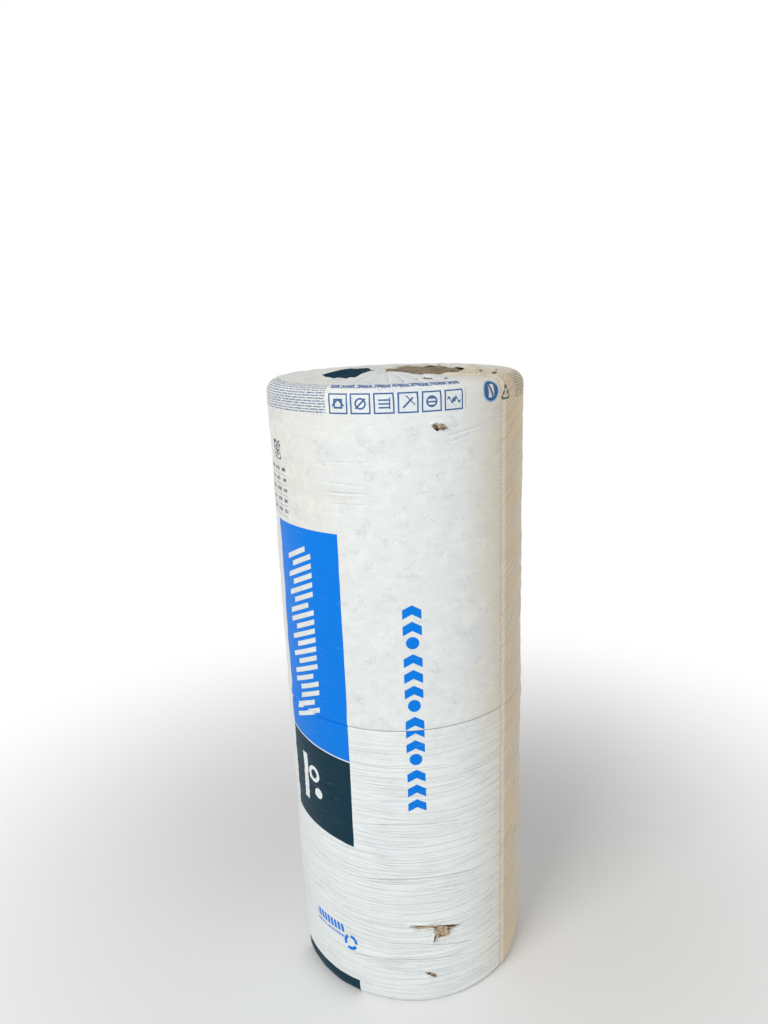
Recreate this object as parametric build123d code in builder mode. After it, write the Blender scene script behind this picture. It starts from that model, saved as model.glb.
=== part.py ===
from build123d import *
from math import atan2, cos, degrees, pi, radians, sin, sqrt, tan
import os

# Insulation roll: two wound glass wool mats, one on the other, in one film sleeve.
# Millimetres. The roll stands on the XY plane with its axis on +Z. Angles round the roll are measured
# from -Y, the side that faces the viewer, towards +X.

# Driving dimensions of the wound mats
mat_width = 592.0  # 600 as cut, squeezed a little on end by the sleeve
mat_length = 4710.0
wool_diameter = 470.0
eye_diameter = 26.0
tuck_mouth = 8.0  # crease between the two mats, measured on the wool
tuck_depth = 9.0
seam_width = 7.0  # groove between one turn and the next on a bare end
seam_depth = 6.0

# Driving dimensions of the film sleeve
film_thickness = 1.0
film_clearance = 0.3  # between the film and the round of the wool
shoulder_radius = 25.0  # outside of the film, at the top end
foot_radius = 12.0  # the same at the foot, which the weight presses square
shoulder_turn = 50.0  # how far each of them bends before it slopes on to the collar
lap_angle = 48.0  # where the outer edge of the lap lies
lap_width = 60.0
collar_thickness = 8.0  # gathered film on each end
mouth_diameter = 246.0  # of bare wool in the middle of each end
mouth_drift = 8.0  # how far the mouth's edge wanders in or out
pleat_count = 18
pleat_depth = 6.0
pleat_lobe = 8.0  # bulge of each pleat's free edge
pleat_land = 14.0  # flat ring between the pleats and the top shoulder

# Tears in the film: angle, height, and an outline in the plane that touches the sleeve there
long_tear = (-56, 9), (-12, 6), (16, 0), (35, -6), (17, -5), (15, -14), (-5, -21), (-18, -42), (-14, 1)
low_tear = (-12, 4), (2, 5), (12, -3), (3, -5), (-8, -1)
high_tear = (-11, 3), (-3, 6), (4, 3), (11, 5), (9, -4), (1, -6), (-6, -3)
tears = (13.5, 180.0, long_tear), (7.6, 68.0, low_tear), (16.3, 1139.0, high_tear)
tear_reach = 12.0  # each side of that plane

# Worked out from the sizes above
wool_radius = wool_diameter / 2
eye_radius = eye_diameter / 2
turn_pitch = pi * (wool_radius**2 - eye_radius**2) / mat_length
joint_height = collar_thickness + mat_width
roll_height = joint_height + mat_width + collar_thickness
film_skin = film_clearance + film_thickness
sleeve_radius = wool_radius + film_skin
lap_arc = degrees(lap_width / sleeve_radius)
tuck_slope = atan2(tuck_depth, tuck_mouth / 2)
mouth_radius = mouth_diameter / 2
pleat_start = mouth_radius - mouth_drift - pleat_lobe
pleat_reach = sleeve_radius - shoulder_radius - pleat_land
pleat_step = 360 / pleat_count


def end_plane(height, facing):
    """Plane of an end face, looking out of the roll: facing is 1 for a top and -1 for an underside."""
    return Plane(origin=(0, 0, height), x_dir=(1, 0, 0), z_dir=(0, 0, facing))


def side_plane(angle):
    """Plane through the roll's axis: its x points out of the roll at the angle, and its y up."""
    out = radians(angle - 90)
    return Plane(origin=(0, 0, 0), x_dir=(cos(out), sin(out), 0), z_dir=(sin(out), -cos(out), 0))


def touching_plane(angle, height):
    """Plane that touches the sleeve at an angle and a height, facing outwards."""
    out = radians(angle - 90)
    place = (sleeve_radius * cos(out), sleeve_radius * sin(out), height)
    return Plane(origin=place, x_dir=(-sin(out), cos(out), 0), z_dir=(cos(out), sin(out), 0))


def tuck(skin):
    """Points across the crease at the joint, on a skin that stands off the wool by an even amount."""
    radius = wool_radius + skin
    half_mouth = tuck_mouth / 2 - skin * tan(tuck_slope / 2)
    deepest = radius - half_mouth * tan(tuck_slope)
    return (radius, joint_height - half_mouth), (deepest, joint_height), (radius, joint_height + half_mouth)


def rim_bevel(radius):
    """Bevel up the side and in along the end that keeps the wool inside a shoulder of this radius."""
    rise, inner = radius - collar_thickness, radius - film_thickness
    return rise, inner - sqrt(inner**2 - rise**2)


def mat_section(facing):
    """Half section of one mat: facing is 1 for the mat above the joint and -1 for the one below."""
    rise, inset = rim_bevel(shoulder_radius if facing > 0 else foot_radius)
    outline = (
        (eye_radius, 0),
        (wool_radius - tuck_depth, 0),
        (wool_radius, tuck_mouth / 2),
        (wool_radius, mat_width - rise),
        (wool_radius - inset, mat_width),
        (eye_radius, mat_width),
    )
    with BuildSketch(side_plane(lap_angle)) as section:
        Polygon(*((x, joint_height + facing * y) for x, y in outline), align=None)
    return section.sketch


def turn_seam(end):
    """Spiral on an end face where each turn meets the one inside it: half circles about two centres."""
    half_pitch = turn_pitch / 2
    half_turns = int((wool_radius - rim_bevel(shoulder_radius)[1] - seam_width - eye_radius) / half_pitch)
    with BuildLine(end) as seam:
        for k in range(half_turns):
            side = 1 if k % 2 == 0 else -1
            CenterArc((-side * half_pitch / 2, 0), eye_radius + (k + 0.5) * half_pitch, 90 - 90 * side, 180)
    return seam.line


def seam_section(end):
    """V of the groove where the spiral starts at the eye, a little proud of the face to cut clean."""
    proud = 0.5
    half_mouth = seam_width / 2 * (1 + proud / seam_depth)
    start = end.from_local_coords((eye_radius, 0, 0))
    with BuildSketch(Plane(origin=start, x_dir=end.x_dir, z_dir=-end.y_dir)) as groove:
        Polygon((-half_mouth, proud), (0, -seam_depth), (half_mouth, proud), align=None)
    return groove.sketch


def collar_edge(radius, lift):
    """Where the slope beyond a shoulder of this radius meets the flat of the end, from the axis."""
    turn = radians(shoulder_turn)
    bend = radius + lift
    return sleeve_radius - radius + bend * cos(turn) - (radius - bend * sin(turn)) * tan(turn)


def skin_section(lift):
    """Half section of the wrapped roll in the lap's plane, with its skin lifted evenly off the sleeve."""
    with BuildSketch(side_plane(lap_angle)) as section:
        with BuildLine():
            foot_centre = (sleeve_radius - foot_radius, foot_radius)
            head_centre = (sleeve_radius - shoulder_radius, roll_height - shoulder_radius)
            foot = CenterArc(foot_centre, foot_radius + lift, -shoulder_turn, shoulder_turn)
            head = CenterArc(head_centre, shoulder_radius + lift, 0, shoulder_turn)
            Polyline(foot @ 1, *tuck(film_skin + lift), head @ 0)
            Polyline(head @ 1, (collar_edge(shoulder_radius, lift), roll_height), (0, roll_height))
            Polyline((0, roll_height), (0, 0), (collar_edge(foot_radius, lift), 0), foot @ 0)
        make_face()
    return section.sketch


def room_section():
    """Half section of the room inside the sleeve."""
    radius = wool_radius + film_clearance
    outline = (
        (0, collar_thickness),
        (radius - rim_bevel(foot_radius)[1], collar_thickness),
        (radius, foot_radius),
        *tuck(film_clearance),
        (radius, roll_height - shoulder_radius),
        (radius - rim_bevel(shoulder_radius)[1], roll_height - collar_thickness),
        (0, roll_height - collar_thickness),
    )
    with BuildSketch(side_plane(lap_angle)) as section:
        Polygon(*outline, align=None)
    return section.sketch


def mouth_point(k):
    """Point of the mouth's edge: between two pleats, or on a pleat's free edge where k is a half."""
    angle = radians(k * pleat_step)
    drift = mouth_drift * (sin(angle + 0.6) + 0.5 * sin(3 * angle)) / 1.5
    radius = mouth_radius + drift - (pleat_lobe if k % 1 else 0)
    return radius * cos(angle), radius * sin(angle)


def collar_mouth(end):
    """Outline of the bare wool, with one rounded lobe of film for each pleat."""
    with BuildSketch(end) as mouth:
        with BuildLine():
            for k in range(pleat_count):
                ThreePointArc(mouth_point(k), mouth_point(k + 0.5), mouth_point((k + 1) % pleat_count))
        make_face()
    return mouth.sketch


def pleat_ramp(end, k):
    """Wedge in plan, on a plane that dips across one pleat down to the foot of the next."""
    spread = radians(pleat_step) * pleat_start
    dip = degrees(atan2(pleat_depth, spread))
    with BuildSketch(Plane(end.location * Rotation(0, 0, k * pleat_step) * Rotation(-dip, 0, 0))) as ramp:
        Polygon((pleat_start, 0), (pleat_reach, 0), (pleat_start, spread), align=None)
    return ramp.sketch


# The two wound mats, each turned about the roll's axis, with the turns parted on the bare end
rolls = []
for name, facing in (("wool_roll_lower", -1), ("wool_roll_upper", 1)):
    bare_end = end_plane(joint_height + facing * mat_width, facing)
    with BuildPart() as wool_roll:
        revolve(mat_section(facing), axis=Axis.Z)
        sweep(sections=seam_section(bare_end), path=turn_seam(bare_end), mode=Mode.SUBTRACT)
    wool_roll.part.label = name
    rolls.append(wool_roll.part)

# The film sleeve: its outside, the second layer of the lap, then the room that the wool fills
with BuildPart() as film_sleeve:
    revolve(skin_section(lift=0), axis=Axis.Z)
    revolve(skin_section(lift=film_thickness), axis=Axis.Z, revolution_arc=lap_arc)
    revolve(room_section(), axis=Axis.Z, mode=Mode.SUBTRACT)

    # Its pleated collars and torn places
    for end in (end_plane(0, -1), end_plane(roll_height, 1)):
        extrude(collar_mouth(end), amount=collar_thickness, both=True, mode=Mode.SUBTRACT)
        for k in range(pleat_count):
            extrude(pleat_ramp(end, k), amount=pleat_depth, mode=Mode.SUBTRACT)
    for angle, height, outline in tears:
        with BuildSketch(touching_plane(angle, height)) as tear:
            Polygon(*outline, align=None)
        extrude(tear.sketch, amount=tear_reach, both=True, mode=Mode.SUBTRACT)
film_sleeve.part.label = "film_sleeve"

os.makedirs("parts", exist_ok=True)
for roll in rolls:
    export_step(roll, f"parts/{roll.label}.step")
export_step(film_sleeve.part, "parts/film_sleeve.step")
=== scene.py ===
from math import degrees, pi, radians

import bpy
import numpy as np
from mathutils import Matrix, Vector, noise


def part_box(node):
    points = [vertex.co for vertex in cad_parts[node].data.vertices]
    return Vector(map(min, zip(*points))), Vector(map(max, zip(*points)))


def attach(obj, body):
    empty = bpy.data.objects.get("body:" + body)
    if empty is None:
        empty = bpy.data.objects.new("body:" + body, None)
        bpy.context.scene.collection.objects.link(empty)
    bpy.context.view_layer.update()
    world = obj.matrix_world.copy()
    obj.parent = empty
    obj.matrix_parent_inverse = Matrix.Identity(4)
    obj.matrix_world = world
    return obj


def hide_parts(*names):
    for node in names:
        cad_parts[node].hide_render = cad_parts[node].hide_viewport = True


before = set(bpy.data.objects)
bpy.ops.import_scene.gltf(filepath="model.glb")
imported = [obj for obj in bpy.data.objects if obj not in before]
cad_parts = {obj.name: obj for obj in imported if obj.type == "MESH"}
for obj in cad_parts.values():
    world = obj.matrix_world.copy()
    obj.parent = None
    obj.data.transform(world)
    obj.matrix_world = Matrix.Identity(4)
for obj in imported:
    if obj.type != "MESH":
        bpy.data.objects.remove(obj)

bl_info = {
    "name": "Insulation Roll",
    "version": (1, 0, 0),
    "blender": (4, 5, 0),
    "location": "3D Viewport > Sidebar > Insulation Roll",
    "description": "Winds two glass wool mats and wraps them in a printed film sleeve",
    "category": "Add Mesh",
}

# The roll's own sizes, in metres, from the frame. The roll stands at the origin with its axis on +Z.
# Angles round the roll are measured from -Y, the side that faces the viewer, towards +X.
FILM_LOW, FILM_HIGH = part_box("film_sleeve")
UPPER_LOW, UPPER_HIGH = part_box("wool_roll_upper")
LOWER_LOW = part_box("wool_roll_lower")[0]
SLEEVE_RADIUS = (FILM_HIGH.x - FILM_LOW.x) / 2
WOOL_RADIUS = (UPPER_HIGH.x - UPPER_LOW.x) / 2
ROLL_HEIGHT = FILM_HIGH.z
JOINT_HEIGHT = UPPER_LOW.z
END_RISE = ROLL_HEIGHT - JOINT_HEIGHT
CREASE_HALF = 0.0006  # half of the gap that is left in the crease
FLOOR_GAP = 0.0004  # between the film and the floor
MM = 0.001
UPWARD = Vector((0, 0, 1))

# The camera as it stood for the photo: its place, the ways to its right and up, and its lens in millimetres
CAMERA_PLACE = Vector((-0.01322, -1.45090, 1.32976))
CAMERA_RIGHT = Vector((0.99933, 0.00072, -0.03659))
CAMERA_UP = Vector((0.03515, 0.25935, 0.96514))
CAMERA_LENS = 27.07
SENSOR_WIDTH = 36

# Tears in the film: angle, height and outline in millimetres, seen from outside
LONG_TEAR = (
    (-62, 6), (-43, 4.5), (-12, 1), (10, -3.5), (36, -10), (27, -12.5), (17, -10.5), (15, -17), (9, -25),
    (0, -26), (-7, -21), (-12, -28), (-18, -42), (-16, -27), (-12, -15), (-14, -5), (-28, -0.5),
    (-47, 2.8),
)
LOW_TEAR = (-12, 7), (-2, 6), (6, 1), (12, -5), (10, -9), (2, -5), (-6, 1)
HIGH_TEAR = (-12, 3), (-7, 6), (-2, 2), (3, 5), (9, 3), (13, -2), (8, -7), (3, -4), (-3, -7), (-8, -3)
TEARS = (13.5, 180.0, LONG_TEAR), (7.6, 68.0, LOW_TEAR), (16.3, 1139.0, HIGH_TEAR)

# The wool's mesh: its rows from the joint to the bare end, and its faces along a mat and through a turn
MAT_ROWS = 0.0, 0.0018, 0.0044, 0.030, 0.30, 0.56, 0.574, 0.582, 0.588, 0.592
MAT_STEPS, TURN_STEPS = 640, 8
BARE_TURNS = 3.8  # turns from the eye that can show in a mouth

# Gathered film towards a mouth: how far outside the mouth's edge, and its rise as a share of the ridge
COLLAR_REACH = 0.055
TOP_COLLAR = (
    (COLLAR_REACH, 0.90), (0.035, 0.95), (0.022, 1.05), (0.012, 1.1), (0.004, 1.05), (-0.004, 0.85),
    (-0.016, 0.55),
)
FOOT_COLLAR = (
    (COLLAR_REACH, -0.02), (0.03, -0.06), (0.012, -0.12), (0.0, -0.25), (-0.006, -0.55), (-0.018, -0.75),
)

# The top mouth round the roll, every 30 degrees from the front: the film's free edge, and its ridge.
# A flap of film covers the left of the mouth, and the right edge stands up.
MOUTH_EDGE = 0.070, 0.104, 0.124, 0.134, 0.130, 0.118, 0.085, 0.045, 0.022, 0.016, 0.018, 0.030
MOUTH_RIDGE = 1.10, 0.85, 0.90, 2.00, 1.20, 0.60, 0.60, 0.90, 1.60, 1.90, 1.90, 1.50

# Ridges pressed into the film: height, then angle of the middle and spread, in degrees
RIDGES = (286, -5.4, 26), (109, -6.8, 40), (84, 4, 34), (196, -16, 30)

# Single creases in the film: height and distance from the front of the middle, half length, slope,
# sag and strength
CREASES = (
    (291.5, 16, 175, 0, 0.00074, 1.0),
    (408, 5, 120, 0, 0.0006, 0.8),
    (107, -8, 165, 0, 0.00107, 0.9),
    (131.5, 60, 90, -0.209, 0, 0.9),
    (143, -40, 60, 0, 0.0003, 0.6),
    (260, 98, 65, -0.094, 0, 0.7),
    (1129, 115, 42, 0.16, 0, 0.55),
    (1118, 107, 26, 0.23, 0, 0.45),
    (1034, -95, 55, 0, 0, 0.60),
    (1049, -94, 60, -0.05, 0, 0.35),
    (1015, -85, 50, 0, 0, 0.35),
    (1086, -80, 50, 0, 0, 0.30),
)

# Printed areas: the angles of their left and right in degrees, and the heights of their foot and head
BANDS = -68.2, -26.8, 361, 961
BAND_BORDER, BAND_TILT = 541, -16 / 171
FOOT_BAND = -68.2, -27.6, -400, 32
HEAD_BAND = -68.2, -26.8, 1278, 1320
PALE_BARS = -60, -42, 590, 922
BADGE_BAR = -59, -55, 400, 500
LEFT_ROWS = -84, -29, 1163, 1222
TABLE = -94, -56.6, 971, 1066
SQUARES = -68, -59.5, 1074, 1108
FOOT_DASHES, FOOT_SCRIBBLE = (-54.6, -35.5, 132, 149), (-54.6, -35.5, 121, 126)

# Middles of the round prints: angle and height
BADGE_RING, BADGE_DOT, BUTTON, FOOT_RING = (-50, 465), (-47, 428), (41.8, 1188), (-31.6, 117)

# Torn tufts: millimetres round from the front, height, out from the film, half sizes, and whether painted
# dark as the shade inside the hole
TEAR_TUFTS = (
    (57, 163, -1.5, 13, 9, 4.5, False),
    (49, 168, -2.0, 8, 6, 4.0, False),
    (63, 159, -1.0, 7, 6, 4.0, False),
    (55, 156, -1.0, 6, 3, 3.0, True),
    (67, 168, -1.5, 6, 3.5, 3.2, True),
    (45, 171, -1.5, 5, 3, 3.0, True),
    (45, 150, -2.5, 2.0, 9, 2.6, False),
    (24, 180, -2.0, 22, 2.2, 2.6, False),
    (8, 182, -1.6, 12, 1.4, 2.0, True),
    (80, 169.5, -2.5, 11, 2.6, 3.0, True),
    (87, 169.5, -1.5, 6, 1.2, 2.0, False),
    (27, 71, -2.5, 7, 3.4, 3.0, True),
    (37, 65, -2.5, 6, 3.4, 3.0, True),
    (25, 73, -0.5, 2.2, 1.2, 1.6, False),
    (33, 68, -0.5, 2.6, 1.4, 1.8, False),
    (41, 62, -0.5, 2.0, 1.2, 1.6, False),
    (60, 1141, -1.5, 4.0, 3.0, 3.6, True),
    (63, 1144, -0.5, 2.6, 1.4, 2.4, False),
    (69, 1140, -1.5, 4.6, 3.0, 4.0, False),
    (72, 1136, -1.0, 3.6, 1.8, 3.2, True),
    (76, 1139, -0.5, 3.0, 1.6, 2.6, False),
    (80, 1136, 0.0, 2.0, 1.2, 1.8, False),
)

# Places along a loose fibre, from one end to the other
FIBRE_POINTS = -1.0, -0.5, 0.0, 0.5, 1.0

# Crumbs of wool on the top end: a place from above, then half sizes
TOP_CRUMBS = (
    (174, -92, 3.2, 2.6, 2.0),
    (156, -45, 2.2, 1.9, 1.6),
    (49, -160, 2.0, 1.5, 1.3),
    (55, -162, 2.4, 1.4, 1.3),
    (60, -159, 1.6, 1.2, 1.2),
    (84, -160, 2.0, 1.5, 1.4),
    (186, -30, 1.5, 1.7, 1.2),
)


def length(name, description, default):
    """Setting for a size in metres."""
    return bpy.props.FloatProperty(name=name, description=description, default=default, unit="LENGTH")


def tint(name, description, default):
    """Setting for a colour."""
    return bpy.props.FloatVectorProperty(
        name=name, description=description, default=default, subtype="COLOR", min=0, max=1
    )


def whole(name, description, default, least):
    """Setting for a whole number."""
    return bpy.props.IntProperty(name=name, description=description, default=default, min=least)


def watts(name, description, default):
    """Setting for a lamp's power."""
    return bpy.props.FloatProperty(name=name, description=description, default=default, unit="POWER")


class FilmSettings(bpy.types.PropertyGroup):
    """Sizes and colours of the film sleeve."""

    lap_angle: bpy.props.FloatProperty(
        name="Lap angle",
        description="Where the outer edge of the lap lies",
        default=radians(48),
        subtype="ANGLE",
    )
    lap_width: length("Lap width", "Film that overlaps itself down the side", 0.060)
    lap_lift: length("Lap lift", "How far the outer layer stands off the inner", 0.0007)
    tuck_depth: length("Tuck depth", "Depth of the crease between the two mats", 0.009)
    lip_radius: length("Lip radius", "Rounding of the crease's two lips", 0.0034)
    shoulder_radius: length("Shoulder radius", "Rounding of the roll's top end", 0.022)
    shoulder_rise: length("Shoulder rise", "How far the top shoulder puffs up", 0.008)
    foot_radius: length("Foot radius", "Rounding of the end that it stands on", 0.012)
    mouth_radius: length("Mouth radius", "Bare wool in the middle of each end", 0.115)
    ridge_height: length("Ridge height", "Rise of the gathered film round the top mouth", 0.008)
    pleats: whole("Pleats", "Folds of film gathered over each end", 27, 3)
    pleat_fold: length("Pleat fold", "How far a pleat is laid over at the mouth", 0.0095)
    wrinkle_height: length("Wrinkle height", "Height of the tension wrinkles", 0.0011)
    columns: whole("Columns", "Faces round the film", 200, 40)
    rows: whole("Rows", "Faces up the film", 340, 60)
    film_colour: tint("Film", "Milky film", (0.79, 0.825, 0.82))
    # The warm film tone stands partly for the wool showing through and partly for painted warm reflected
    # light
    warm_colour: tint("Warm film", "Film where the wool shows through", (0.74, 0.70, 0.60))
    blue_colour: tint("Blue print", "Bright blue print", (0.0, 0.205, 0.78))
    teal_colour: tint("Teal print", "Dark teal print", (0.003, 0.032, 0.055))


class WoolSettings(bpy.types.PropertyGroup):
    """Sizes and colours of the wound mats."""

    mat_length: length("Mat length", "Length of each mat, unrolled", 4.71)
    eye_radius: length("Eye radius", "Hole in the middle of the winding", 0.013)
    turn_gap: length("Turn gap", "Gap between one turn and the next", 0.0022)
    crown: length("Crown", "How far the edge of each turn is rounded", 0.005)
    clearance: length("Clearance", "Room between the wool and the film", 0.0018)
    dome: length("Dome", "Rise of the wool in the mouth of the top end", 0.016)
    wool_colour: tint("Wool", "Brown glass wool", (0.40, 0.315, 0.205))
    straw_colour: tint("Straw", "Pale fibres in the wool", (0.66, 0.565, 0.42))
    shade_colour: tint("Shade", "Wool in its hollows", (0.16, 0.11, 0.062))


class StageSettings(bpy.types.PropertyGroup):
    """Camera, lamps and floor."""

    floor_colour: tint("Floor", "Pale floor and backdrop", (0.86, 0.86, 0.855))
    key_power: watts("Key lamp", "Large soft lamp at the front left", 62.0)
    fill_power: watts("Fill lamp", "Large soft lamp at the front right", 17.0)
    sky_level: bpy.props.FloatProperty(
        name="Sky level", description="Even light from all round", default=0.42, min=0
    )
    floor_near: length("Floor near", "Where the floor starts to fade to white", 0.35)
    floor_far: length("Floor far", "Where the floor is all white", 1.7)


class Wire:
    """An output socket of a finish: arithmetic and comparisons on it add Math nodes."""

    def __init__(self, finish, socket):
        self.finish, self.socket = finish, socket

    def math(self, operation, *others):
        values = dict(enumerate((self, *others)))
        return self.finish.node("ShaderNodeMath", {"operation": operation}, values)

    def __add__(self, other):
        return self.math("ADD", other)

    __radd__ = __add__

    def __sub__(self, other):
        return self.math("SUBTRACT", other)

    def __rsub__(self, other):
        return self * -1 + other

    def __mul__(self, other):
        return self.math("MULTIPLY", other)

    __rmul__ = __mul__

    def __truediv__(self, other):
        return self.math("DIVIDE", other)

    def __mod__(self, other):
        return self.math("FLOORED_MODULO", other)

    def __abs__(self):
        return self.math("ABSOLUTE")

    def __gt__(self, other):
        return self.math("GREATER_THAN", other)

    def __lt__(self, other):
        return self.math("LESS_THAN", other)

    def __or__(self, other):
        return self.math("MAXIMUM", other)


class Finish:
    """The nodes of one material or of the world, added node by node."""

    def __init__(self, owner):
        self.owner = owner
        owner.use_nodes = True
        self.tree = owner.node_tree
        self.tree.nodes.clear()

    def node(self, kind, settings=(), values=(), output=0):
        """Adds a node with its settings and the values or links of its sockets, and gives one output."""
        made = self.tree.nodes.new(kind)
        for key, value in dict(settings).items():
            setattr(made, key, value)
        for key, value in dict(values).items():
            if isinstance(value, Wire):
                self.tree.links.new(value.socket, made.inputs[key])
            else:
                made.inputs[key].default_value = value
        return Wire(self, made.outputs[output]) if made.outputs else None

    def blend(self, share, under, over):
        """Mixes two colours; a share of 1 is all the second one."""
        under, over = (c if isinstance(c, Wire) else (*c, 1) for c in (under, over))
        return self.node("ShaderNodeMix", {"data_type": "RGBA"}, {0: share, 6: under, 7: over}, output=2)

    def parts(self, vector):
        """The X and Y of a vector."""
        return tuple(self.node("ShaderNodeSeparateXYZ", {}, {0: vector}, output=i) for i in range(2))

    def vector(self, x, y, z=0.0):
        return self.node("ShaderNodeCombineXYZ", {}, {0: x, 1: y, 2: z})

    def noise(self, vector, scale=1.0, detail=3.0, roughness=0.55, distortion=0.0):
        values = {"Vector": vector, "Scale": scale, "Detail": detail}
        values.update({"Roughness": roughness, "Distortion": distortion})
        return self.node("ShaderNodeTexNoise", {}, values)

    def spread(self, value, low, high):
        """Stretches the range from low to high to the range from 0 to 1, with soft ends."""
        values = {"Value": value, "From Min": low, "From Max": high}
        return self.node("ShaderNodeMapRange", {"interpolation_type": "SMOOTHSTEP"}, values)

    def principled(self, colour, roughness, relief, relief_depth, **constants):
        """A Principled shader with a bump."""
        bump = {"Height": relief, "Distance": relief_depth, "Strength": 1.0}
        normal = self.node("ShaderNodeBump", {}, bump)
        values = {"Base Color": colour, "Roughness": roughness, "Normal": normal}
        values.update({key.replace("_", " "): value for key, value in constants.items()})
        return self.node("ShaderNodeBsdfPrincipled", {}, values)

    def seen(self):
        """Whether the camera sees it, straight or in a gloss or through glass."""
        path = [self.node("ShaderNodeLightPath", {}, {}, output=i) for i in (0, 3, 6)]
        return path[0] | path[1] | path[2]

    def end(self, shader, kind="ShaderNodeOutputMaterial"):
        self.node(kind, {}, {0: shader})
        return self.owner


def between(value, low, high):
    return (value > low) * (value < high)


def distance(x, y):
    """Distance from a point, for the distances across and up from it."""
    return (x * x + y * y).math("SQRT")


def film_row(height):
    """Millimetres of film from the crease, for a height on the side of the roll in millimetres."""
    hidden = film_hidden() / MM
    from_joint = height - JOINT_HEIGHT / MM
    return from_joint + (hidden if from_joint > 0 else -hidden)


def film_column(angle):
    """Millimetres of film from the line that faces the viewer, for an angle in degrees."""
    return radians(angle) * SLEEVE_RADIUS / MM


class FilmPlace:
    """A point on the flat film, in millimetres: from the lap, from the front, and up from the crease."""

    def __init__(self, finish, film):
        self.finish = finish
        u, v = finish.parts(finish.node("ShaderNodeUVMap", {"uv_map": "flat_film"}))
        half = film_half(film) / MM
        self.from_lap = u * (film_width(film) / MM)
        self.across = self.from_lap - (film_column(360) - film_column(degrees(film.lap_angle)))
        self.up = v * (2 * half) - half
        self.flat = finish.vector(self.across, self.up)

        # Shares that tell the lower mat from the upper, and the creases beside the lap, which run aslant
        self.lower = finish.spread(self.up, 60.0, -120.0)
        self.upper = 1 - self.lower * 0.75
        far_side = finish.spread(self.across, 160.0, 215.0) * 0.5
        self.beside_lap = finish.spread(self.from_lap, 330.0, 60.0) | far_side
        self.level = self.up - finish.spread(self.from_lap, 260.0, 0.0) * (self.from_lap * 0.30 - 70.0)

    def rows(self, low, high):
        """Mask of the film between two heights on the roll's side."""
        return between(self.up, film_row(low), film_row(high))

    def columns(self, left, right):
        """Mask of the film between two angles round the roll."""
        return between(self.across, film_column(left), film_column(right))

    def area(self, left, right, foot, head):
        """Mask of a rectangle on the film."""
        return self.columns(left, right) * self.rows(foot, head)

    def beside(self, angle, height):
        """Millimetres across and up from the point at an angle and a height."""
        return self.across - film_column(angle), self.up - film_row(height)


def film_creases(at):
    """Crests and troughs in the film: groups of ripples, long lines, and the single creases."""
    finish, across, up, level = at.finish, at.across, at.up, at.level
    rippled = (at.lower * 0.86 + 0.14) | (at.beside_lap * 0.95)
    crests = troughs = 0.0
    for pitch, seed in ((7.0, 0.0), (13.0, 40.0)):
        group = finish.noise(finish.vector(across * 0.0035 + seed, up * 0.018), detail=1.0)
        drift = finish.noise(finish.vector(across * 0.0034 + seed, up * 0.008), detail=1.0)
        waves = (level * (2 * pi / pitch) + drift * (200 / pitch)).math("SINE")
        group = finish.spread(group, 0.42, 0.64) * rippled
        crests = crests + finish.spread(waves, -0.3, 1.0) * group * 0.50
        troughs = troughs + finish.spread(waves, -0.3, -1.0) * group * 0.45
    lines = finish.noise(finish.vector(across * 0.0030, level * 0.080), detail=2.0, distortion=0.2)
    crests = crests | finish.spread(abs(lines - 0.52), 0.020, 0.0) * rippled * 0.8
    troughs = troughs | finish.spread(abs(lines - 0.49), 0.010, 0.0) * rippled * 0.7
    for height, middle, half_length, slope, sag, strength in CREASES:
        run = across - middle
        gap = up - film_row(height) - run * slope + run * run * sag
        share = finish.spread(abs(run), half_length, half_length * 0.4) * strength
        troughs = troughs | finish.spread(abs(gap), 1.7, 0.3) * share * 2.4
        crests = crests | finish.spread(abs(gap + 4.0), 3.6, 0.8) * share * 1.5
    return crests, troughs


def layer(finish, colour, *layers):
    """Lays colours over one another, each by its share."""
    for share, over in layers:
        colour = finish.blend(share, colour, over)
    return colour


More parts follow.
